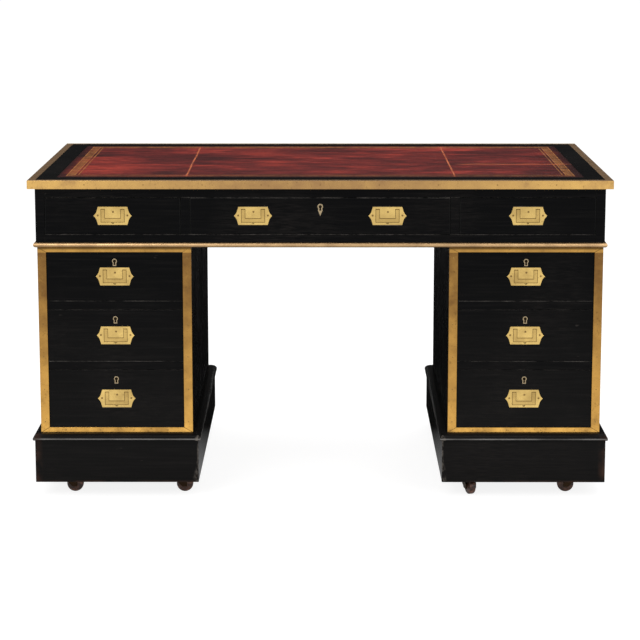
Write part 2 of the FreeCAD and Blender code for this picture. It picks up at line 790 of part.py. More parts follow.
def drop_form(name, grow, length):
    """A round head over shouldered sides that run down to a point, grown all round by a margin."""
    body = new_body(name)
    head = sketch_on(body, f"{name}_head", "XZ_Plane")
    disc(head, f"drop_head + 2 * ({grow})")
    pad(body, head, length, backwards=True)
    tail = sketch_on(body, f"{name}_tail", "XZ_Plane")
    waist, shoulder = f"drop_waist / 2 + {grow}", f"drop_shoulder / 2 + {grow}"
    fall, point = "-drop_shoulder_fall", f"-(drop_tail + {grow})"
    right = [(shoulder, fall), (waist, "0")]
    left = [(minus(x), z) for x, z in right[::-1]]
    outline(tail, [("0", point), *right, *left])
    pad(body, tail, length, backwards=True)
    return body


# Drawers, drawn about the middle of the sill at the front of their opening


def make_drawer(kind, width, height, length, brassware, handles, escutcheon=None, escutcheon_seat=None):
    """The wooden box, the fixed brasses and the bails of one drawer, as three lists."""
    face = span(f"{width} - 2 * drawer_gap")
    box = span(f"{width} - 2 * drawer_side_gap")
    inside = f"{box[0]} + drawer_side", f"{box[1]} - drawer_side"
    behind = ("drawer_front", length)
    side_height = ("drawer_gap", f"{height} - drawer_side_drop")
    bottom_top = "drawer_bottom_rise + drawer_bottom"
    bottom = board(
        f"{kind}_bottom",
        (f"{inside[0]} - drawer_groove", f"{inside[1]} + drawer_groove"),
        ("drawer_front - drawer_groove", length),
        ("drawer_bottom_rise", bottom_top),
    )
    back_depth = (f"{length} - drawer_side", length)
    back = board(f"{kind}_back", inside, back_depth, (bottom_top, side_height[1]))
    sides = []
    for mark, across in (("a", (box[0], inside[0])), ("b", (inside[1], box[1]))):
        side = board(f"{kind}_side_{mark}_board", across, behind, side_height)
        sides.append(cut(f"{kind}_side_{mark}", side, bottom))
    top = f"{height} - drawer_gap"
    front = board(f"{kind}_front_board", face, ("0", "drawer_front"), ("drawer_gap", top))

    tools, brasses, bails = [bottom], [], []
    for count, offset in enumerate(handles):
        where = {"x": offset, "z": half(height)}
        tools.append(group(f"{kind}_handle_seat_{count}", [brassware["seat"]], **where))
        brasses.append(group(f"{kind}_handle_plate_{count}", [brassware["plate"]], **where))
        bails.append(group(f"{kind}_bail_{count}", [brassware["bail"]], **where))
    if escutcheon:
        level = f"{height} - keyhole_drop"
        lock_depth = ("drawer_front - lock_thickness", "drawer_front")
        lock = board(f"{kind}_lock", span("lock_width"), lock_depth, (f"{top} - lock_height", top))
        tools.append(lock)
        tools.append(group(f"{kind}_escutcheon_seat", [escutcheon_seat], z=level))
        brasses.append(group(f"{kind}_escutcheon", [escutcheon], z=level))
        brasses.append(lock)
    return [cut(f"{kind}_front", front, *tools), *sides, back, bottom], brasses, bails


def make_drawers():
    brassware = {"plate": make_handle_plate(), "bail": make_bail(), "seat": make_handle_seat()}
    depth = "drawer_front - lock_thickness"
    keyhole = keyhole_form("keyhole", "-escutcheon_rim", depth)
    thread = cut("escutcheon", keyhole_form("escutcheon_form", "0", depth), keyhole)
    thread_seat = keyhole_form("escutcheon_seat", "brass_seat_gap", depth)
    drop = cut("drop_escutcheon", drop_form("drop_escutcheon_form", "0", depth), keyhole)
    drop_seat = drop_form("drop_escutcheon_seat", "brass_seat_gap", depth)

    frieze_length = f"({FRIEZE_REAR_ROOM} - {FRIEZE_FRONT} - drawer_back_room)"
    pedestal_length = f"({PEDESTAL_REAR_ROOM} - {CARCASS_FRONT} - drawer_back_room)"
    spread = half("centre_handle_spread")
    frieze_height = "frieze_drawer_height"
    side = make_drawer("side_frieze", SIDE_OPENING, frieze_height, frieze_length, brassware, ["0"])
    centre = make_drawer(
        "centre_frieze",
        "centre_drawer_width",
        frieze_height,
        frieze_length,
        brassware,
        [minus(spread), spread],
        drop,
        drop_seat,
    )
    tiers = {
        level: make_drawer(
            level,
            PEDESTAL_OPENING,
            f"{level}_drawer_height",
            pedestal_length,
            brassware,
            ["0"],
            thread,
            thread_seat,
        )
        for level in ("upper", "middle", "lower")
    }
    sills = {"upper": UPPER_SILL, "middle": MIDDLE_SILL, "lower": LOWER_SILL}

    frieze = {"y": FRIEZE_FRONT, "z": FRIEZE_SILL}
    fit_drawer("frieze_centre", centre, ("left", "right"), x="0", **frieze)
    for hand, sign in (("left", "-"), ("right", "")):
        fit_drawer(f"frieze_{hand}", side, ("",), x=f"{sign}{SIDE_OPENING_CENTRE}", **frieze)
        for level, drawer in tiers.items():
            where = {"x": f"{sign}{PEDESTAL_CENTRE}", "y": CARCASS_FRONT, "z": sills[level]}
            fit_drawer(f"{hand}_{level}", drawer, ("",), **where)


def fit_drawer(name, drawer, bail_names, **where):
    wood, brasses, bails = drawer
    node(f"drawer_{name}", wood, **where)
    node(f"drawer_{name}_brasses", brasses, **where)
    for bail_name, bail in zip(bail_names, bails):
        node("_".join(filter(None, ("bail", name, bail_name))), [bail], **where)


def write_nodes():
    faults = [item.Label for item in doc.Objects if {"Invalid", "Error"} & set(item.State)]
    faults += [part.Label for part in nodes if part.Shape.isNull() or not part.Shape.isValid()]
    if faults:
        raise RuntimeError(f"failed pieces: {faults}")
    os.makedirs("parts", exist_ok=True)
    for part in nodes:
        Part.makeCompound(part.Shape.Solids).exportStep(f"parts/{part.Label}.step")
        print(part.Label, len(part.Shape.Solids), "solids")


make_top()
make_frieze()
make_pedestals()
make_castors()
make_drawers()
doc.recompute()
write_nodes()
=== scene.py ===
import json
import math

import bmesh
import bpy
import numpy as np
from mathutils import Matrix, Vector


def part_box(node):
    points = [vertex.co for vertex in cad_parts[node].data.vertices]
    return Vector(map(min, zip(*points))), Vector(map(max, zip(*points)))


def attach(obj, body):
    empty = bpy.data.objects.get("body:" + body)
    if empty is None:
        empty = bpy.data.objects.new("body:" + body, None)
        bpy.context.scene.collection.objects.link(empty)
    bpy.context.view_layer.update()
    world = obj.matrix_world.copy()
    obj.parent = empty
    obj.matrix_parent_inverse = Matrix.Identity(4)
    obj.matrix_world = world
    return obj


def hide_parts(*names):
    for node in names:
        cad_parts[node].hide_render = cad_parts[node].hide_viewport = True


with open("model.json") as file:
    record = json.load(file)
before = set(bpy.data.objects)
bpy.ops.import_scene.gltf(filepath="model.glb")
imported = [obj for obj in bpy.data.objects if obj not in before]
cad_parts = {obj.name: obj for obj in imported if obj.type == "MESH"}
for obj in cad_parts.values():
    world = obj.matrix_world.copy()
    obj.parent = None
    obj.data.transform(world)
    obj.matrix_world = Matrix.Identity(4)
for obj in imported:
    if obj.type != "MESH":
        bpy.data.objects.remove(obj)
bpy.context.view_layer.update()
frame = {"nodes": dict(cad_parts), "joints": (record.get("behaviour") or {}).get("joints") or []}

MM = 0.001
HANDS = ("left", "right")
LEVELS = ("upper", "middle", "lower")
DRAWERS = ["frieze_left", "frieze_centre", "frieze_right"]
DRAWERS += [f"{hand}_{level}" for hand in HANDS for level in LEVELS]
JOINTS = {joint["name"]: joint for joint in frame["joints"]}

# Places on the desk

DRAWER_FRONT = 20 * MM
DOVETAIL_PITCH, DOVETAIL_LAP = 21 * MM, 7 * MM
LEATHER_LOW, LEATHER_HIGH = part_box("writing_leather")
SEAM_X = 319.25 * MM
GILT_PITCH = 17 * MM
GILT_CURVE, GILT_DOTS, GILT_MIDDLE = 23.5 * MM, 33 * MM, 29.2 * MM
GILT_LINES = ((20.3 * MM, 1.1 * MM), (38.2 * MM, 1.1 * MM), (46.5 * MM, 0.9 * MM))
SCRATCH_X, SCRATCH_Y = 480 * MM, -57 * MM
EDGING_LEVEL = sum(corner.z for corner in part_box("top_edge_brass")) / 2
EDGING_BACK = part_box("top_edge_brass")[1].y
PIN_PITCH = 138 * MM
FRAME_LOW, FRAME_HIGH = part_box("pedestal_right_brass_frame")
FRAME_UPRIGHT, FRAME_STRIP = 20.5 * MM, 12 * MM
LIP_LEVEL = 146.2 * MM
PLINTH_CORNER = (291 * MM, -376 * MM)
PLINTH_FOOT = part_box("pedestal_right_plinth")[0].z
PLINTH_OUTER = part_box("pedestal_right_plinth")[1].x - 6 * MM
CENTRE_HANDLE_X, SIDE_HANDLE_X, PEDESTAL_HANDLE_X = 158 * MM, 488 * MM, 486 * MM
FRIEZE_HANDLE_Z = 682.5 * MM
PLATE_HEIGHT, RECESS_DEPTH = 43 * MM, 9 * MM
BAIL_WIDTH, BAIL_LIMB = 55 * MM, 9 * MM
BAIL_LOW, BAIL_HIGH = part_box("bail_left_upper")

# Colours and gloss

RUBBED_BLACK, CHIPPED_BLACK = (0.026, 0.022, 0.020, 1), (0.060, 0.052, 0.046, 1)
LIP_HIGHLIGHT_GREY, BARE_CORNER = (0.24, 0.23, 0.22, 1), (0.20, 0.175, 0.15, 1)
FOOT_BROWN = (0.040, 0.021, 0.015, 1)
EDGE_BLACK, EDGE_WEAR_AND_HIGHLIGHT_GREY = (0.004, 0.004, 0.004, 1), (0.150, 0.136, 0.124, 1)
GAP_SHADE_BLACK = (0.0006, 0.0006, 0.0006, 1)
PORE_BROWN, PALE_WOOD = (0.07, 0.032, 0.015, 1), (0.34, 0.20, 0.10, 1)
PLATE_BRIGHT, PLATE_DULL = (0.70, 0.490, 0.165), (0.38, 0.250, 0.085)
MITRE_DIRT_AND_SHADOW, PIN_BROWN = (0.035, 0.020, 0.008, 1), (0.12, 0.065, 0.025, 1)
FLANGE_BROWN, FLANGE_HIGHLIGHT = (0.225, 0.138, 0.072, 1), (0.78, 0.66, 0.48, 1)
KEYHOLE_RIM, RECESS_DIRT = (0.36, 0.28, 0.17, 1), (0.020, 0.013, 0.007, 1)
BAIL_DIRT = (0.190, 0.098, 0.030, 1)
LEATHER_RIM, LEATHER_SCRATCH = (0.013, 0.0042, 0.0044, 1), (0.60, 0.150, 0.050, 1)
GILT_DARK, GILT_BRIGHT = (0.215, 0.075, 0.019, 1), (0.385, 0.165, 0.046, 1)
GILT_SEAM = (0.42, 0.115, 0.045, 1)
FLOOR_PALE, WHITE = (0.82, 0.82, 0.82, 1), (1, 1, 1, 1)
POLISH_SPECULAR = 0.045
CARCASS_DUST = 0.4


# Shader building


def feed(tree, node, inputs):
    """Sets a node's inputs, each given as a value or as another node's output."""
    for name, given in inputs.items():
        if isinstance(given, bpy.types.NodeSocket):
            tree.links.new(given, node.inputs[name])
        else:
            node.inputs[name].default_value = given


def add(tree, kind, inputs=None, **settings):
    node = tree.nodes.new(kind)
    for name, setting in settings.items():
        setattr(node, name, setting)
    feed(tree, node, inputs or {})
    return node


def maths(tree, operation, first, second=0.0):
    return add(tree, "ShaderNodeMath", {0: first, 1: second}, operation=operation).outputs[0]


def plus(tree, first, second):
    return maths(tree, "ADD", first, second)


def minus(tree, first, second):
    return maths(tree, "SUBTRACT", first, second)


def times(tree, first, second):
    return maths(tree, "MULTIPLY", first, second)


def larger(tree, first, second):
    return maths(tree, "MAXIMUM", first, second)


def smaller(tree, first, second):
    return maths(tree, "MINIMUM", first, second)


def absolute(tree, given):
    return maths(tree, "ABSOLUTE", given)


def above(tree, given, limit):
    """1 where a value is over a limit, else 0."""
    return maths(tree, "GREATER_THAN", given, limit)


def below(tree, given, limit):
    """1 where a value is under a limit, else 0."""
    return maths(tree, "LESS_THAN", given, limit)


def beat_of(tree, run, pitch):
    """Position within a repeat of the given pitch, from 0 to 1."""
    return maths(tree, "FRACT", maths(tree, "DIVIDE", run, pitch))


def mix(tree, share, first, second):
    """Mixes two colours."""
    inputs = {0: share, 6: first, 7: second}
    return add(tree, "ShaderNodeMix", inputs, data_type="RGBA").outputs[2]


def blend(tree, share, first, second):
    """Mixes two numbers."""
    return add(tree, "ShaderNodeMix", {0: share, 2: first, 3: second}).outputs[0]


def spread(tree, given, low, high, to_low=0.0, to_high=1.0):
    """Maps a value from one range to another and keeps it within that."""
    inputs = {
        "Value": given,
        "From Min": low,
        "From Max": high,
        "To Min": to_low,
        "To Max": to_high,
    }
    return add(tree, "ShaderNodeMapRange", inputs).outputs["Result"]


def near(tree, given, target, half_width, soft):
    """1 where a value is within half_width of a target, falling to 0 over soft."""
    gap = absolute(tree, minus(tree, given, target))
    return spread(tree, gap, half_width, half_width + soft, 1.0, 0.0)


def object_place(tree):
    return add(tree, "ShaderNodeTexCoord").outputs["Object"]


def axes(tree, vector):
    return add(tree, "ShaderNodeSeparateXYZ", {0: vector}).outputs


def normal_axes(tree):
    return axes(tree, add(tree, "ShaderNodeNewGeometry").outputs["Normal"])


def side_share(tree):
    """1 on faces that look along X, 0 on the others."""
    return above(tree, absolute(tree, normal_axes(tree)[0]), 0.5)


def up_share(tree):
    """1 on faces that look up, 0 on the others."""
    return spread(tree, normal_axes(tree)[2], 0.6, 0.9)


def noise(tree, place, scale, stretch=(1, 1, 1), detail=4.0, roughness=0.55):
    moved = add(tree, "ShaderNodeMapping", {"Vector": place, "Scale": stretch}).outputs[0]
    inputs = {"Vector": moved, "Scale": scale, "Detail": detail, "Roughness": roughness}
    return add(tree, "ShaderNodeTexNoise", inputs).outputs["Fac"]


def ramp(tree, given, *stops):
    """Colours along a value, from pairs of position and colour."""
    node = add(tree, "ShaderNodeValToRGB", {"Fac": given})
    marks = node.color_ramp.elements
    while len(marks) < len(stops):
        marks.new(0.5)
    for mark, (position, colour) in zip(marks, stops):
        mark.position = position
        mark.color = (*colour, 1)
    return node.outputs["Color"]


def bump(tree, height, strength, distance):
    inputs = {"Height": height, "Strength": strength, "Distance": distance}
    return add(tree, "ShaderNodeBump", inputs).outputs["Normal"]


def new_material(name):
    material = bpy.data.materials.new(name)
    material.use_nodes = True
    return material, material.node_tree, material.node_tree.nodes["Principled BSDF"]


# Wood


def black_polish(tree, place, dust=1.0):
    """Colour, roughness and relief of ebonised wood, grained along the board and dusty low down."""
    along, upright = (0.8, 24, 24), (24, 24, 0.8)
    streaks = [noise(tree, place, 9.0, stretch, 6.0, 0.6) for stretch in (along, upright)]
    grain = blend(tree, side_share(tree), *streaks)
    deep = ramp(
        tree,
        grain,
        (0.30, (0.0009, 0.0010, 0.0013)),
        (0.52, (0.0018, 0.0018, 0.0020)),
        (0.74, (0.0050, 0.0046, 0.0046)),
    )
    dusty = ramp(
        tree,
        grain,
        (0.30, (0.0052, 0.0050, 0.0049)),
        (0.52, (0.0068, 0.0064, 0.0062)),
        (0.74, (0.0100, 0.0091, 0.0087)),
    )
    colour = mix(tree, spread(tree, axes(tree, place)[2], 0.10, 0.55, dust, 0.0), deep, dusty)
    zones = spread(tree, noise(tree, place, 3.2), 0.50, 0.70)
    rubs = spread(tree, noise(tree, place, 40.0, along), 0.46, 0.68)
    colour = mix(tree, times(tree, times(tree, zones, rubs), 0.5), colour, RUBBED_BLACK)
    chips = spread(tree, noise(tree, place, 55.0, (0.4, 1, 1), 2.0), 0.74, 0.80)
    colour = mix(tree, times(tree, chips, 0.4), colour, CHIPPED_BLACK)
    polish = spread(tree, noise(tree, place, 7.0), 0.3, 0.7, 0.18, 0.32)
    return colour, polish, grain


def corner_wear(tree, place):
    """Share of bare wood at the plinths' front corners by the kneehole, more so low down."""
    x, y, z = axes(tree, place)[:3]
    across = absolute(tree, minus(tree, absolute(tree, x), PLINTH_CORNER[0]))
    away = plus(tree, across, minus(tree, y, PLINTH_CORNER[1]))
    reach = spread(tree, z, 45 * MM, 95 * MM, 16 * MM, 4 * MM)
    share = spread(tree, maths(tree, "DIVIDE", away, reach), 0.15, 1.0, 1.0, 0.0)
    scuffs = spread(tree, noise(tree, place, 90.0, (1, 1, 0.5), 6.0, 0.7), 0.47, 0.62)
    return times(tree, times(tree, share, scuffs), 0.7)


def foot_wear(tree, place):
    """Share of brown at the plinths' front outer corners and, thinner, along their foot."""
    x, y, z = axes(tree, place)[:3]
    corner = near(tree, absolute(tree, x), PLINTH_OUTER, 4 * MM, 14 * MM)
    ahead = near(tree, y, PLINTH_CORNER[1], 4 * MM, 14 * MM)
    corner = times(tree, corner, ahead)
    foot = near(tree, z, PLINTH_FOOT, 1.5 * MM, 4 * MM)
    patchy = spread(tree, noise(tree, place, 28.0, detail=5.0), 0.38, 0.62)
    return times(tree, larger(tree, corner, foot), patchy)


def make_ebony(name, plinth=False):
    """Ebonised wood. A plinth is glossier, with a painted highlight on its lip and its corners and
    foot worn.
    """
    material, tree, shader = new_material(name)
    place = object_place(tree)
    colour, polish, grain = black_polish(tree, place, 1.0 if plinth else CARCASS_DUST)
    if plinth:
        # Painted highlight: a pale broken line along the lip's rounded nose.
        nose = near(tree, axes(tree, place)[2], LIP_LEVEL, 0.9 * MM, 1.1 * MM)
        highlight_break = spread(tree, noise(tree, place, 6.0, detail=5.0), 0.36, 0.62, 0.25, 0.95)
        colour = mix(tree, times(tree, nose, highlight_break), colour, LIP_HIGHLIGHT_GREY)
        colour = mix(tree, corner_wear(tree, place), colour, BARE_CORNER)
        colour = mix(tree, foot_wear(tree, place), colour, FOOT_BROWN)
        polish = times(tree, polish, 0.8)
    feed(tree, shader, {
        "Base Color": colour,
        "Roughness": polish,
        "Specular IOR Level": POLISH_SPECULAR,
        "Normal": bump(tree, grain, 0.12, 0.4 * MM),
    })
    return material


def worn_highlit_edge(tree, place, black_to, bare_from):
    """Colour of an edge where the black is worn down and partly painted highlight, hardly so on
    upright edges.
    """
    # Pale edge colour is partly real wear and partly painted highlight on the level edges; upright
    # edges stay dark.
    level = spread(tree, absolute(tree, normal_axes(tree)[0]), 0.1, 0.3, 1.0, 0.06)
    blotches = noise(tree, place, 22.0, detail=8.0, roughness=0.7)
    worn = times(tree, spread(tree, blotches, black_to, bare_from), level)
    return mix(tree, worn, EDGE_BLACK, EDGE_WEAR_AND_HIGHLIGHT_GREY)


def make_arris():
    """Carcass edges, partly painted highlight, painted shade looking down into a gap over a drawer.
    """
    material, tree, shader = new_material("ebonised_arris")
    colour = worn_highlit_edge(tree, object_place(tree), 0.42, 0.78)
    # Painted shade: faces that look down into the gap above a drawer are made near black.
    under = spread(tree, normal_axes(tree)[2], -0.5, -0.2, 1.0, 0.0)
    colour = mix(tree, under, colour, GAP_SHADE_BLACK)
    feed(tree, shader, {"Base Color": colour, "Roughness": 0.40, "Specular IOR Level": 0.04})
    return material


def box_wood(tree, place):
    """Colour and grain of the plain hardwood that drawers are made of, grained along each board."""
    ahead = spread(tree, absolute(tree, normal_axes(tree)[1]), 0.6, 0.8)
    grain_runs, pore_runs = ((22, 0.7, 22), (0.7, 22, 22)), ((1, 0.05, 1), (0.05, 1, 1))
    streaks = [noise(tree, place, 10.0, stretch, 6.0, 0.6) for stretch in grain_runs]
    pores = [noise(tree, place, 260.0, stretch, 2.0) for stretch in pore_runs]
    streak = blend(tree, ahead, *streaks)
    pitted = times(tree, spread(tree, blend(tree, ahead, *pores), 0.55, 0.75), 0.45)
    colour = ramp(
        tree,
        streak,
        (0.28, (0.110, 0.048, 0.021)),
        (0.50, (0.185, 0.088, 0.040)),
        (0.75, (0.260, 0.135, 0.064)),
    )
    return mix(tree, pitted, colour, PORE_BROWN), streak


def bare_share(tree, place, face_y):
    """1 on a drawer's box and on the dovetails in the ends of its front, 0 on the black front."""
    y, z = axes(tree, place)[1:3]
    depth = minus(tree, y, face_y)
    behind = above(tree, depth, DRAWER_FRONT - 0.1 * MM)
    off_centre = absolute(tree, minus(tree, beat_of(tree, z, DOVETAIL_PITCH), 0.5))
    centre_gap = times(tree, off_centre, DOVETAIL_PITCH)
    half_width = spread(tree, depth, DOVETAIL_LAP, DRAWER_FRONT, 8.5 * MM, 6.0 * MM)
    tail = below(tree, centre_gap, half_width)
    tail = times(tree, tail, above(tree, depth, DOVETAIL_LAP))
    tail = times(tree, tail, side_share(tree))
    return larger(tree, behind, tail)


def make_drawer_wood(name, face_y):
    """Black front, plain box behind it, and dovetails where the sides meet the front."""
    material, tree, shader = new_material(name)
    place = object_place(tree)
    black, polish, grain = black_polish(tree, place)
    plain, streak = box_wood(tree, place)
    bare = bare_share(tree, place, face_y)
    relief = blend(tree, bare, grain, streak)
    feed(tree, shader, {
        "Base Color": mix(tree, bare, black, plain),
        "Roughness": blend(tree, bare, polish, 0.62),
        "Specular IOR Level": POLISH_SPECULAR,
        "Normal": bump(tree, relief, 0.12, 0.4 * MM),
    })
    return material


def make_drawer_arris(name, face_y, black_to):
    """Edges of a drawer: worn black with painted highlight on the front, plain wood on the box."""
    material, tree, shader = new_material(name)
    place = object_place(tree)
    plain, _ = box_wood(tree, place)
    black = worn_highlit_edge(tree, place, black_to, 0.68)
    colour = mix(tree, bare_share(tree, place, face_y), black, plain)
    feed(tree, shader, {"Base Color": colour, "Roughness": 0.40, "Specular IOR Level": 0.12})
    return material


def make_inner_wood():
    material, tree, shader = new_material("inner_wood_plain")
    colour, streak = box_wood(tree, object_place(tree))
    feed(tree, shader, {
        "Base Color": mix(tree, 0.55, colour, PALE_WOOD),
        "Roughness": 0.7,
        "Normal": bump(tree, streak, 0.2, 0.5 * MM),
    })
    return material


def make_wheel_wood():
    material, tree, shader = new_material("wheel_wood_waxed")
    figure = noise(tree, object_place(tree), 75.0, (1, 1, 2), 5.0)
    colour = ramp(
        tree,
        figure,
        (0.32, (0.012, 0.0045, 0.0028)),
        (0.52, (0.072, 0.0265, 0.0140)),
        (0.70, (0.230, 0.0980, 0.0560)),
    )
    feed(tree, shader, {
        "Base Color": colour,
        "Roughness": 0.38,
        "Normal": bump(tree, figure, 0.15, 0.4 * MM),
    })
    return material


# Brass


def frame_wear(tree, place):
    """The frames are bright along the bottom strip, dull up the sides and less so along the top."""
    z = axes(tree, place)[2]
    upright = spread(tree, z, 0.19, 0.60, 0.36, 1.0)
    upright = times(tree, upright, spread(tree, z, 0.170, 0.182))
    strip = near(tree, z, FRAME_HIGH.z - FRAME_STRIP / 2, FRAME_STRIP / 2, 2 * MM)
    return times(tree, upright, spread(tree, strip, 0.0, 1.0, 1.0, 0.55))


def frame_marks(tree, place, colour):
    """Dirt in the frame's mitres, and painted shadow below the moulding that overhangs its top
    strip.
    """
    x, _, z = axes(tree, place)[:3]
    away = absolute(tree, x)
    to_side = smaller(tree, minus(tree, FRAME_HIGH.x, away), minus(tree, away, FRAME_LOW.x))
    to_end = smaller(tree, minus(tree, z, FRAME_LOW.z), minus(tree, FRAME_HIGH.z, z))
    mitre = times(tree, to_side, FRAME_STRIP / FRAME_UPRIGHT)
    joint = near(tree, mitre, to_end, 0.3 * MM, 0.5 * MM)
    joint = times(tree, joint, below(tree, to_end, FRAME_STRIP))
    # Painted shadow of the overhanging moulding across the top of the strip, mixed in with the
    # mitre dirt.
    shade = spread(tree, z, FRAME_HIGH.z - 7 * MM, FRAME_HIGH.z - 3 * MM, 0.0, 0.8)
    dirt = larger(tree, times(tree, joint, 0.85), shade)
    return mix(tree, dirt, colour, MITRE_DIRT_AND_SHADOW), 1.0


def edging_wear(tree, place):
    """The edging is duller along the middle of the top, where hands rest, and on its flange."""
    x = axes(tree, place)[0]
    middle = spread(tree, absolute(tree, x), 0.15, 0.64, 0.80, 0.25)
    return larger(tree, middle, up_share(tree))


def edging_marks(tree, place, colour):
    """Flush pin heads on the upright faces, and a brown flange with a painted highlight at the
    back.
    """
    x, y, z = axes(tree, place)[:3]
    run = blend(tree, side_share(tree), x, y)
    beat = maths(tree, "FRACT", plus(tree, maths(tree, "DIVIDE", run, PIN_PITCH), 0.5))
    along = times(tree, minus(tree, beat, 0.5), PIN_PITCH)
    rise = minus(tree, z, EDGING_LEVEL)
    squares = [maths(tree, "POWER", side, 2) for side in (along, rise)]
    reach = maths(tree, "SQRT", plus(tree, *squares))
    heads = times(tree, near(tree, reach, 0.0, 1.3 * MM, 0.4 * MM), 0.7)
    colour = mix(tree, heads, colour, PIN_BROWN)
    flange = up_share(tree)
    colour = mix(tree, flange, colour, FLANGE_BROWN)
    # Painted highlight: a pale line along the back of the flange.
    rubbed_and_highlit = spread(tree, y, EDGING_BACK - 13 * MM, EDGING_BACK - 10 * MM)
    colour = mix(tree, times(tree, rubbed_and_highlit, flange), colour, FLANGE_HIGHLIGHT)
    return colour, spread(tree, flange, 0.0, 1.0, 1.0, 0.4)


def pedestal_rims(tree, place):
    """Share of the keyhole rims of the pedestal drawers, each above its handle plate."""
    z = axes(tree, place)[2]
    share = 0.0
    for level in LEVELS:
        plate_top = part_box(f"drawer_left_{level}_brasses")[0].z + PLATE_HEIGHT
        rim = near(tree, z, plate_top + 17 * MM, 16 * MM, 0.5 * MM)
        share = larger(tree, share, rim)
    return share


def frieze_rims(tree, place):
    """Share of the keyhole rim in the middle of the frieze."""
    return near(tree, axes(tree, place)[0], 0.0, 15 * MM, 0.5 * MM)


def plate_marks(rims, face_y, notches):
    """Marks of the drawer brasses: keyhole rims, and dirt in the recesses, less in the notches."""

    def marks(tree, place, colour):
        x, y = axes(tree, place)[:2]
        rim = rims(tree, place)
        colour = mix(tree, rim, colour, KEYHOLE_RIM)
        depth = minus(tree, y, face_y)
        dirt = spread(tree, depth, 0.35 * MM, 1.0 * MM)
        dirt = times(tree, dirt, below(tree, depth, RECESS_DEPTH))
        for notch in notches:
            clean = minus(tree, near(tree, absolute(tree, x), notch, 6 * MM, 1 * MM), rim)
            dirt = times(tree, dirt, spread(tree, clean, 0.0, 1.0, 1.0, 0.5))
        return mix(tree, dirt, colour, RECESS_DIRT), 1.0

    return marks


def bail_marks(tree, place, colour):
    """Brown dirt along the edges of a bail's legs and bar, where polish does not reach."""
    x, _, z = axes(tree, add(tree, "ShaderNodeTexCoord").outputs["Generated"])[:3]
    off_centre = times(tree, minus(tree, x, 0.5), BAIL_HIGH.x - BAIL_LOW.x)
    from_side = minus(tree, BAIL_WIDTH / 2, absolute(tree, off_centre))
    from_foot = times(tree, z, BAIL_HIGH.z - BAIL_LOW.z)
    inset = smaller(tree, from_side, from_foot)
    polished = near(tree, inset, BAIL_LIMB / 2, BAIL_LIMB / 2 - 1.2 * MM, 1.0 * MM)
    dirt = spread(tree, polished, 0.0, 1.0, 0.8, 0.0)
    return mix(tree, dirt, colour, BAIL_DIRT), 1.0


def make_brass(name, bright, dull, wear=None, marks=None, rough=0.22, relief=0.08):
    """Aged brass, with the places where it has dulled and marks of its own."""
    material, tree, shader = new_material(name)
    place = object_place(tree)
    clouds = noise(tree, place, 24.0, detail=5.0, roughness=0.6)
    specks = noise(tree, place, 170.0, detail=3.0)
    rubbing = noise(tree, place, 520.0, (0.12, 1, 1), 2.0)
    dulled = spread(tree, clouds, 0.35, 0.72, 0.0, 0.75)
    if wear:
        sway = times(tree, minus(tree, clouds, 0.5), 0.75)
        dulled = larger(tree, dulled, plus(tree, wear(tree, place), sway))
    colour = mix(tree, dulled, (*bright, 1), (*dull, 1))
    stain = spread(tree, specks, 0.60, 0.74, 0.0, 0.4)
    colour = mix(tree, stain, colour, (*(tone * 0.35 for tone in dull), 1))
    metal = 1.0
    if marks:
        colour, metal = marks(tree, place, colour)
    polish = spread(tree, clouds, 0.3, 0.7, rough, rough + 0.12)
    polish = plus(tree, polish, times(tree, stain, 0.3))
    height = plus(tree, rubbing, times(tree, specks, 0.6))
    feed(tree, shader, {
        "Base Color": colour,
        "Metallic": metal,
        "Roughness": polish,
        "Normal": bump(tree, height, relief, 0.3 * MM),
    })
    return material


# Leather


def gilt_tooling(tree, place, side_gap, end_gap):
    """Share of gilt: a border roll between lines, a thin line inside it and one along each seam."""
    x, y = axes(tree, place)[:2]
    inset = smaller(tree, side_gap, end_gap)
    at_side = below(tree, side_gap, end_gap)
    run = blend(tree, at_side, x, y)
    arch = absolute(tree, minus(tree, beat_of(tree, run, GILT_PITCH), 0.5))
    curve = plus(tree, GILT_CURVE, times(tree, arch, 22 * MM))
    gilt = near(tree, inset, curve, 1.3 * MM, 0.8 * MM)
    off_line = absolute(tree, minus(tree, inset, GILT_DOTS))
    from_dot = plus(tree, times(tree, arch, GILT_PITCH), off_line)
    gilt = larger(tree, gilt, near(tree, from_dot, 0.0, 2.0 * MM, 0.9 * MM))
    for target, half_width in GILT_LINES:
        gilt = larger(tree, gilt, near(tree, inset, target, half_width, 0.5 * MM))
    ground = near(tree, inset, GILT_MIDDLE, 9.0 * MM, 0.6 * MM)
    gilt = larger(tree, gilt, times(tree, ground, 0.32))
    at_end = spread(tree, y, -0.1, 0.1, 0.45, 0.95)
    gilt = times(tree, gilt, larger(tree, at_side, at_end))
    sway = times(tree, noise(tree, place, 6.0, detail=6.0), 5 * MM)
    seam_line = plus(tree, sway, SEAM_X - 2.5 * MM)
    seam = near(tree, absolute(tree, x), seam_line, 1.5 * MM, 0.8 * MM)
    seam = times(tree, seam, above(tree, end_gap, 21 * MM))
    rubbed_and_highlit = spread(tree, noise(tree, place, 46.0, detail=5.0), 0.34, 0.58, 0.30, 1.0)
    return times(tree, larger(tree, gilt, seam), rubbed_and_highlit)


def scratch_share(tree, place):
    """Share of the long scratch across the right skin: a thin broken line in a paler scuff."""
    x, y = axes(tree, place)[:2]
    track = plus(tree, y, times(tree, noise(tree, place, 14.0, detail=6.0), 26 * MM))
    length = near(tree, x, SCRATCH_X, 115 * MM, 35 * MM)
    broken = spread(tree, noise(tree, place, 30.0, detail=6.0), 0.40, 0.60, 0.25, 1.0)
    line = times(tree, near(tree, track, SCRATCH_Y, 0.8 * MM, 1.4 * MM), broken)
    scuff = times(tree, near(tree, track, SCRATCH_Y, 2 * MM, 9 * MM), 0.35)
    return times(tree, larger(tree, line, scuff), length)


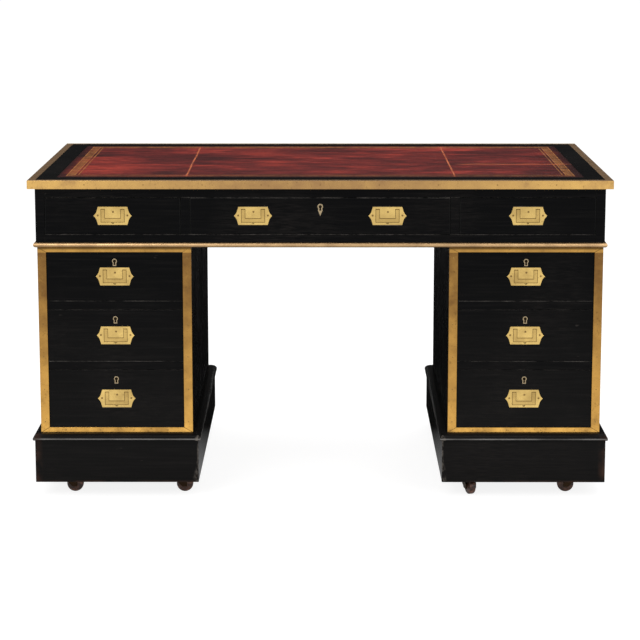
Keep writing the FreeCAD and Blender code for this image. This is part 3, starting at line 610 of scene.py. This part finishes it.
def make_leather():
    """Oxblood skin with worn red areas, partly painted sheen, dark rims, gilt tooling and one long
    scratch.
    """
    material, tree, shader = new_material("leather_oxblood")
    place = object_place(tree)
    x, y = axes(tree, place)[:2]
    side_gap = minus(tree, LEATHER_HIGH.x, absolute(tree, x))
    end_gap = minus(tree, LEATHER_HIGH.y, absolute(tree, y))
    # The bright red areas are partly real wear and partly painted sheen.
    wear_and_sheen_patches = noise(tree, place, 27.0, (0.40, 1.0, 1), 9.0, 0.75)
    zones = noise(tree, place, 5.0, (0.55, 1.2, 1), 4.0, 0.6)
    mottle = plus(tree, times(tree, wear_and_sheen_patches, 0.62), times(tree, zones, 0.62))
    colour = ramp(
        tree,
        mottle,
        (0.49, (0.030, 0.0078, 0.0080)),
        (0.58, (0.066, 0.0106, 0.0102)),
        (0.66, (0.124, 0.0156, 0.0130)),
        (0.76, (0.270, 0.0310, 0.0190)),
    )
    rim = spread(tree, smaller(tree, side_gap, end_gap), 0.0, 55 * MM, 0.95, 0.0)
    colour = mix(tree, rim, colour, LEATHER_RIM)
    gilt = gilt_tooling(tree, place, side_gap, end_gap)
    gold = mix(tree, noise(tree, place, 70.0), GILT_DARK, GILT_BRIGHT)
    at_seam = near(tree, absolute(tree, x), SEAM_X, 8 * MM, 2 * MM)
    colour = mix(tree, gilt, colour, mix(tree, at_seam, gold, GILT_SEAM))
    colour = mix(tree, scratch_share(tree, place), colour, LEATHER_SCRATCH)
    cells = add(tree, "ShaderNodeTexVoronoi", {"Vector": place, "Scale": 950.0})
    relief = plus(tree, cells.outputs["Distance"], times(tree, gilt, -0.8))
    feed(tree, shader, {
        "Base Color": colour,
        "Roughness": spread(tree, wear_and_sheen_patches, 0.3, 0.7, 0.62, 0.48),
        "Specular IOR Level": 0.08,
        "Normal": bump(tree, relief, 0.22, 0.3 * MM),
    })
    return material


EBONY = make_ebony("ebonised_wood_polish")
PLINTH_EBONY = make_ebony("ebonised_plinth_polish", plinth=True)
ARRIS = make_arris()
INNER = make_inner_wood()
LEATHER = make_leather()
WHEEL = make_wheel_wood()
BAIL_BRASS = make_brass(
    "brass_bails", (0.60, 0.410, 0.135), (0.30, 0.195, 0.065), marks=bail_marks
)
FRAME_BRASS = make_brass(
    "brass_frames", (0.73, 0.405, 0.094), (0.185, 0.094, 0.029), frame_wear, frame_marks
)
MOULDING_BRASS = make_brass(
    "brass_moulding", (0.52, 0.340, 0.170), (0.30, 0.190, 0.098), rough=0.34, relief=0.02
)
EDGE_BRASS = make_brass(
    "brass_edging",
    (0.76, 0.465, 0.140),
    (0.300, 0.168, 0.076),
    edging_wear,
    edging_marks,
    relief=0.03,
)
# The castor brass is tarnished and made darker still as painted shade over the horns.
TARNISHED_SHADED_CASTOR_BRASS = make_brass("brass_castors_tarnished_and_shaded", (0.040, 0.023, 0.012), (0.018, 0.011, 0.007))
PIN_BRASS = make_brass("brass_pins", (0.27, 0.165, 0.055), (0.14, 0.082, 0.030))


# CAD nodes: finish and softened edges

WELD_GAP = 0.01 * MM
FLAT_ANGLE = math.radians(0.5)
ARRIS_ANGLE = math.radians(35)


def solids_of(mesh):
    """Vertex indices of each closed solid of a node. The solids follow one another in its mesh."""
    places = [tuple(round(value, 6) for value in vertex.co) for vertex in mesh.vertices]
    solids, members, open_edges = [], set(), set()
    for face in mesh.polygons:
        members.update(face.vertices)
        corners = [places[index] for index in face.vertices]
        for first, second in zip(corners, corners[1:] + corners[:1]):
            open_edges ^= {frozenset((first, second))}
        if not open_edges:
            solids.append(sorted(members))
            members = set()
    return solids


def dress(node, material, width, arris=None, segments=2):
    """Gives a CAD node its finish and small rounded edges, which may have one of their own."""
    item = frame["nodes"][node]
    item.material_slots[0].material = material
    if arris:
        item.data.materials.append(arris)
    for index, members in enumerate(solids_of(item.data)):
        group = item.vertex_groups.new(name=f"solid_{index}")
        group.add(members, 1.0, "REPLACE")
        weld = item.modifiers.new(f"weld_{index}", "WELD")
        weld.merge_threshold = WELD_GAP
        weld.vertex_group = group.name
    planes = item.modifiers.new("planes", "DECIMATE")
    planes.decimate_type = "DISSOLVE"
    planes.angle_limit = FLAT_ANGLE
    bevel = item.modifiers.new("edges", "BEVEL")
    bevel.width = width
    bevel.segments = segments
    bevel.limit_method = "ANGLE"
    bevel.angle_limit = ARRIS_ANGLE
    if arris:
        bevel.material = 1


dress("top_board", EBONY, 0.6 * MM)
dress("frieze_carcass", EBONY, 1.0 * MM, ARRIS)
dress("top_edge_brass", EDGE_BRASS, 0.5 * MM)
dress("frieze_base_moulding", MOULDING_BRASS, 0.3 * MM)
dress("frieze_runners", INNER, 0.8 * MM)
dress("castor_plates", TARNISHED_SHADED_CASTOR_BRASS, 0.5 * MM)
dress("castor_blocks", INNER, 1.5 * MM)
for hand in HANDS:
    dress(f"pedestal_{hand}_carcass", EBONY, 1.0 * MM, ARRIS)
    dress(f"pedestal_{hand}_runners", INNER, 0.8 * MM)
    dress(f"pedestal_{hand}_brass_frame", FRAME_BRASS, 0.5 * MM)
    dress(f"pedestal_{hand}_plinth", PLINTH_EBONY, 1.2 * MM, segments=3)

# The drawers of the frieze and of the pedestals differ in where their brasses are, and in edge wear
# and painted highlight.
FINISHES = {}
BLACK_TO = {"frieze": 0.42, "pedestal": 0.30}
RIMS = {"frieze": frieze_rims, "pedestal": pedestal_rims}
NOTCHES = {"frieze": (CENTRE_HANDLE_X, SIDE_HANDLE_X), "pedestal": (PEDESTAL_HANDLE_X,)}
for name in DRAWERS:
    face_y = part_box(f"drawer_{name}")[0].y
    kind = "frieze" if name.startswith("frieze") else "pedestal"
    if kind not in FINISHES:
        marks = plate_marks(RIMS[kind], face_y, NOTCHES[kind])
        FINISHES[kind] = (
            make_drawer_wood(f"drawer_wood_{kind}", face_y),
            make_drawer_arris(f"drawer_arris_{kind}", face_y, BLACK_TO[kind]),
            make_brass(f"brass_plates_{kind}", PLATE_BRIGHT, PLATE_DULL, marks=marks),
        )
    wood, arris, plates = FINISHES[kind]
    dress(f"drawer_{name}", wood, 1.0 * MM, arris)
    dress(f"drawer_{name}_brasses", plates, 0.25 * MM)
for node in frame["nodes"]:
    if node.startswith("bail_"):
        dress(node, BAIL_BRASS, 0.5 * MM)
    elif node.startswith("castor_horn_"):
        dress(node, TARNISHED_SHADED_CASTOR_BRASS, 0.8 * MM)


# Pieces of the scene

SCREW_RADIUS, SCREW_HEIGHT = 2.4 * MM, 0.35 * MM
SCREW_PLACES = ((-35 * MM, 1 * MM), (35 * MM, 1 * MM), (1 * MM, 9.5 * MM))
PIN_RADIUS, PIN_HEIGHT = 1.4 * MM, 0.25 * MM
UPRIGHT_PINS, UPRIGHT_PIN_INSET, UPRIGHT_PIN_END = 6, 10 * MM, 26 * MM
STRIP_PINS, STRIP_PIN_END = 4, 60 * MM
SKIN_STEP, SKIN_GAUGE = 14 * MM, 0.8 * MM
SKIN_DROP, SKIN_SAG, SKIN_RIPPLE = 0.12 * MM, 0.45 * MM, 0.05 * MM
SKIN_RIM = (0, 0.6 * MM, 1.4 * MM, 2.6 * MM, 5 * MM)
# Half the wheel's section, from bore to tread: radius and distance from its middle, in millimetres
WHEEL_HALF = [(2.7, 8.6), (6.3, 8.6), (7.4, 8.0), (8.6, 6.9)]
WHEEL_HALF += [(15.2, 7.3), (18.2, 7.0), (19.5, 5.6), (20.0, 3.2)]
WHEEL_SIDES = 44


def piece(name, shape, body, material, smooth=True):
    """An object of the given mesh shape that moves with a body."""
    mesh = bpy.data.meshes.new(name)
    shape.to_mesh(mesh)
    shape.free()
    mesh.materials.append(material)
    if smooth:
        mesh.shade_smooth()
    item = bpy.data.objects.new(name, mesh)
    bpy.context.scene.collection.objects.link(item)
    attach(item, body)
    return item


def ring(shape, points):
    return [shape.verts.new(point) for point in points]


def bridge(shape, first, second):
    count = len(first)
    for index in range(count):
        after = (index + 1) % count
        shape.faces.new((first[index], first[after], second[after], second[index]))


def circle(sides):
    return [2 * math.pi * step / sides for step in range(sides)]


def facing(centre, outward):
    """Placement of a fitting drawn on the plane y = 0 with -Y outwards, at a point of a face."""
    turn = Vector((0, -1, 0)).rotation_difference(Vector(outward)).to_matrix().to_4x4()
    return Matrix.Translation(centre) @ turn


def dome(shape, place, radius, height, sides=12):
    """A low round pin head."""
    rings = []
    for share, rise in ((1.0, 0.0), (0.86, 0.6), (0.5, 1.0)):
        reach, lift = radius * share, height * rise
        points = [Vector((reach * math.cos(a), -lift, reach * math.sin(a))) for a in circle(sides)]
        rings.append(ring(shape, [place @ point for point in points]))
    for first, second in zip(rings, rings[1:]):
        bridge(shape, first, second)
    shape.faces.new(rings[-1])


def slotted_head(shape, place, radius, height, turn):
    """A screw head: two raised halves each side of a slot, over a disc that is the slot's floor."""
    sides = 9
    slot_half = 0.17 * radius
    start = math.asin(slot_half / radius)
    spin = Matrix.Rotation(turn, 4, "Y")
    for half_turn in (0.0, math.pi):
        flip = Matrix.Rotation(half_turn, 4, "Y")
        angles = [start + (math.pi - 2 * start) * step / sides for step in range(sides + 1)]
        flat = [Vector((radius * math.cos(a), 0, radius * math.sin(a))) for a in angles]
        middle = sum(flat, Vector()) / len(flat)
        rings = []
        for share, rise in ((1.0, 0.0), (1.0, 0.55), (0.84, 1.0)):
            lift = Vector((0, -height * rise, 0))
            points = [middle + (point - middle) * share + lift for point in flat]
            rings.append(ring(shape, [place @ spin @ flip @ point for point in points]))
        for first, second in zip(rings, rings[1:]):
            bridge(shape, first, second)
        shape.faces.new(rings[-1])
    floor = [Vector((radius * math.cos(a), -0.02 * MM, radius * math.sin(a))) for a in circle(18)]
    shape.faces.new(ring(shape, [place @ point for point in floor]))


def uneven(low, high):
    """Positions from low to high, close together near the ends."""
    count = max(3, round((high - low) / SKIN_STEP))
    inner = np.linspace(low + SKIN_RIM[-1], high - SKIN_RIM[-1], count)
    return [low + e for e in SKIN_RIM[:-1]] + list(inner) + [high - e for e in SKIN_RIM[-2::-1]]


def make_skin(name, low_x, high_x):
    """One leather skin, laid in the top's recess, with a rounded rim and a slight unevenness."""
    columns = uneven(low_x, high_x)
    rows = uneven(LEATHER_LOW.y, LEATHER_HIGH.y)
    shape = bmesh.new()
    grid = []
    for y in rows:
        line = []
        for x in columns:
            gap = min(x - low_x, high_x - x, y - LEATHER_LOW.y, LEATHER_HIGH.y - y)
            sag = SKIN_SAG * math.exp(-gap / (1.1 * MM))
            ripple = math.sin(31 * x + 11 * y) * math.sin(23 * y - 7 * x)
            ripple += math.sin(83 * x) * math.sin(71 * y + 2)
            z = LEATHER_HIGH.z - SKIN_DROP - sag - SKIN_RIPPLE * (1 + ripple / 2)
            line.append(shape.verts.new((x, y, z)))
        grid.append(line)
    for first, second in zip(grid, grid[1:]):
        for index in range(len(columns) - 1):
            after = index + 1
            shape.faces.new((first[index], first[after], second[after], second[index]))
    skin = piece(name, shape, "desk", LEATHER)
    solid = skin.modifiers.new("gauge", "SOLIDIFY")
    solid.thickness = SKIN_GAUGE
    solid.offset = -1
    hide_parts("writing_leather")


def make_screws():
    """Three screws in each handle plate: one at each end and one in the tongue inside the bail."""
    for count, name in enumerate(DRAWERS):
        low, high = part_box(f"drawer_{name}")
        middle = (low + high) / 2
        if name.startswith("frieze"):
            handle_z = FRIEZE_HANDLE_Z
        else:
            bail_low, bail_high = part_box(f"bail_{name}")
            handle_z = (bail_low.z + bail_high.z) / 2 - 0.3 * MM
        two = name == "frieze_centre"
        shape = bmesh.new()
        for offset in (-CENTRE_HANDLE_X, CENTRE_HANDLE_X) if two else (0.0,):
            for index, (x, z) in enumerate(SCREW_PLACES):
                centre = Vector((middle.x + offset + x, low.y, handle_z + z))
                # Each slot stands at an angle of its own.
                turn = 0.9 + 1.7 * count + 2.3 * index + offset * 9
                place = facing(centre, (0, -1, 0))
                slotted_head(shape, place, SCREW_RADIUS, SCREW_HEIGHT, turn)
        piece(f"screws_{name}", shape, f"drawer_{name}", PIN_BRASS, smooth=False)


def make_pins():
    """Pins that hold the two front frames."""
    for hand in HANDS:
        low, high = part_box(f"pedestal_{hand}_brass_frame")
        places = []
        heights = np.linspace(low.z + UPRIGHT_PIN_END, high.z - UPRIGHT_PIN_END, UPRIGHT_PINS)
        for x in (low.x + UPRIGHT_PIN_INSET, high.x - UPRIGHT_PIN_INSET):
            places += [(x, z) for z in heights]
        across = np.linspace(low.x + STRIP_PIN_END, high.x - STRIP_PIN_END, STRIP_PINS)
        for z in (low.z + FRAME_STRIP / 2, high.z - FRAME_STRIP / 2):
            places += [(x, z) for x in across]
        shape = bmesh.new()
        for x, z in places:
            dome(shape, facing(Vector((x, low.y, z)), (0, -1, 0)), PIN_RADIUS, PIN_HEIGHT)
        piece(f"pins_frame_{hand}", shape, "desk", PIN_BRASS)


def make_wheel(node):
    """Turned wheel with a rounded tread and a raised hub each side."""
    joint = JOINTS[f"{node}_roll"]
    centre, axle = Vector(joint["pos_m"]), Vector(joint["axis"])
    up = Vector((0, 0, 1))
    ahead = up.cross(axle)
    outline = WHEEL_HALF + [(radius, -across) for radius, across in WHEEL_HALF[::-1]]
    shape = bmesh.new()
    rings = []
    for angle in circle(WHEEL_SIDES):
        spoke = ahead * math.cos(angle) + up * math.sin(angle)
        points = [
            centre + axle * (across * MM) + spoke * (radius * MM) for radius, across in outline
        ]
        rings.append(ring(shape, points))
    for first, second in zip(rings, rings[1:] + rings[:1]):
        bridge(shape, first, second)
    bmesh.ops.recalc_face_normals(shape, faces=shape.faces)
    wheel = piece(f"turned_{node}", shape, node, WHEEL)
    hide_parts(node)


make_skin("leather_left", LEATHER_LOW.x, -SEAM_X)
make_skin("leather_centre", -SEAM_X, SEAM_X)
make_skin("leather_right", SEAM_X, LEATHER_HIGH.x)
make_screws()
make_pins()
for node in list(frame["nodes"]):
    if node.startswith("castor_wheel_"):
        make_wheel(node)


# Studio

# What mirrored rays see behind the desk, as shares of what they see in front of it
ROOM_DIM, FLOOR_DIM = 0.03, 0.006
SCATTERED_LEVEL = 0.55
FLOOR_GREY, FLOOR_GLOW = 0.30, 0.86


def seen_share(tree):
    """1 for rays from the camera and for mirrored and transmitted ones, 0 for scattered light."""
    path = add(tree, "ShaderNodeLightPath").outputs
    share = larger(tree, path["Is Camera Ray"], path["Is Glossy Ray"])
    return larger(tree, share, path["Is Transmission Ray"])


def background(tree, strength):
    inputs = {"Color": WHITE, "Strength": strength}
    return add(tree, "ShaderNodeBackground", inputs).outputs[0]


def make_world():
    """White behind the object. Mirrored rays see a bright room, dim low down behind the desk."""
    world = bpy.data.worlds.new("studio")
    bpy.context.scene.world = world
    world.use_nodes = True
    tree = world.node_tree
    tree.nodes.clear()
    direction = axes(tree, add(tree, "ShaderNodeTexCoord").outputs["Generated"])
    behind = spread(tree, direction[1], -0.25, 0.30)
    low = spread(tree, direction[2], 0.55, 0.95, 1.0, 0.0)
    room = spread(tree, times(tree, behind, low), 0.0, 1.0, 1.0, ROOM_DIM)
    camera = add(tree, "ShaderNodeLightPath").outputs["Is Camera Ray"]
    seen = background(tree, larger(tree, room, camera))
    light = background(tree, SCATTERED_LEVEL)
    mixed = add(tree, "ShaderNodeMixShader", {0: seen_share(tree), 1: light, 2: seen}).outputs[0]
    add(tree, "ShaderNodeOutputWorld", {"Surface": mixed})


def make_floor():
    """Pale floor, white to the camera but for the shadow, dim to mirrored rays from behind."""
    shape = bmesh.new()
    bmesh.ops.create_grid(shape, x_segments=1, y_segments=1, size=60)
    mesh = bpy.data.meshes.new("floor")
    shape.to_mesh(mesh)
    shape.free()
    floor = bpy.data.objects.new("floor", mesh)
    bpy.context.scene.collection.objects.link(floor)
    material, tree, shader = new_material("floor_white")
    tree.nodes.remove(shader)
    camera = add(tree, "ShaderNodeLightPath").outputs["Is Camera Ray"]
    x, y = axes(tree, object_place(tree))[:2]
    front = spread(tree, y, -0.9, 0.3, 1.0, FLOOR_DIM)
    aside = spread(tree, absolute(tree, x), 1.05, 2.0)
    level = larger(tree, larger(tree, front, aside), camera)
    grey = times(tree, level, FLOOR_GREY)
    shade = add(tree, "ShaderNodeCombineColor", {0: grey, 1: grey, 2: grey}).outputs[0]
    pale = add(tree, "ShaderNodeBsdfDiffuse", {"Color": FLOOR_PALE}).outputs[0]
    shadowed = add(tree, "ShaderNodeBsdfDiffuse", {"Color": shade}).outputs[0]
    strength = times(tree, level, FLOOR_GLOW)
    glow = add(tree, "ShaderNodeEmission", {"Color": WHITE, "Strength": strength}).outputs[0]
    white = add(tree, "ShaderNodeAddShader", {0: shadowed, 1: glow}).outputs[0]
    mixed = add(tree, "ShaderNodeMixShader", {0: seen_share(tree), 1: pale, 2: white}).outputs[0]
    tree.links.new(mixed, tree.nodes["Material Output"].inputs["Surface"])
    mesh.materials.append(material)


def make_light(name, place, target, size, energy, mirrored=True):
    light = bpy.data.lights.new(name, "AREA")
    light.shape = "SQUARE"
    light.size = size
    light.energy = energy
    lamp = bpy.data.objects.new(name, light)
    lamp.location = place
    lamp.rotation_euler = (Vector(target) - Vector(place)).to_track_quat("-Z", "Y").to_euler()
    lamp.visible_glossy = mirrored
    bpy.context.scene.collection.objects.link(lamp)


def make_camera():
    camera = bpy.data.cameras.new("camera")
    camera.lens = 114.41
    camera.shift_y = -0.12
    item = bpy.data.objects.new("camera", camera)
    item.location = (0.0088, -5.0897, 1.3990)
    item.rotation_euler = (math.radians(90 - 9.391), 0, math.radians(0.114))
    bpy.context.scene.collection.objects.link(item)
    bpy.context.scene.camera = item


make_world()
make_floor()
make_light("key", (-2.4, -3.4, 3.0), (0, 0, 0.45), size=2.4, energy=75)
make_light("fill", (2.8, -3.2, 2.2), (0, 0, 0.45), size=2.4, energy=40)
make_light("overhead", (0, 0.4, 3.4), (0, 0, 0.5), size=2.6, energy=60)
make_light("behind", (0.8, 3.6, 2.6), (0, 0, 0.4), size=2.4, energy=40, mirrored=False)
make_camera()
bpy.context.scene.view_settings.view_transform = "Standard"
